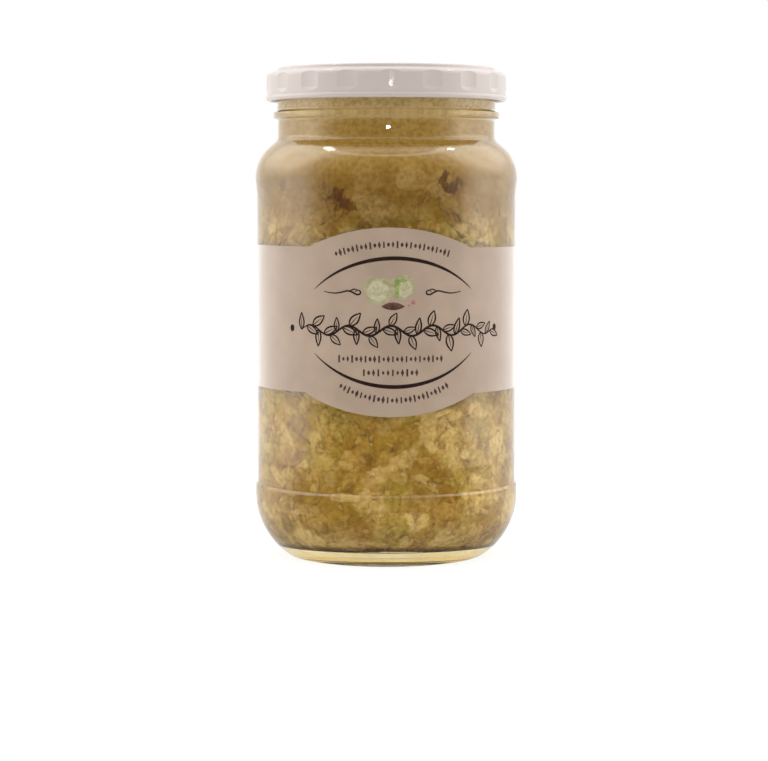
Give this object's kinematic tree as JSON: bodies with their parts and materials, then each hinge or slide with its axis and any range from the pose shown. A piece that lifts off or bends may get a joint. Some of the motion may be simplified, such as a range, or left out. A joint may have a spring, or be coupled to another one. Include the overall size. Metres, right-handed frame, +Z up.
{
  "type": "jar of sauerkraut",
  "caption": "Round clear-glass jar packed with sauerkraut in brine, closed by a white twist-off metal lid, with a paper wrap-around label that bulges into an oval at the front.",
  "frame": {"origin": "centre of the base, in the plane the jar stands on", "axes": "+Z up along the jar's axis; the label's oval faces -Y; +X to the right of the label"},
  "size_m": [0.0806, 0.0806, 0.1494],
  "materials": {
    "clear_glass": "clear moulded flint glass",
    "sauerkraut": "wet shredded cabbage in cloudy brine",
    "white_lacquered_tinplate": "glossy white lacquer",
    "label_paper": "matt uncoated label paper with dark brown print"
  },
  "bodies": {
    "root": {"glass_jar": "clear_glass", "sauerkraut": "sauerkraut", "lid": "white_lacquered_tinplate", "label": "label_paper"}
  },
  "joints": []
}
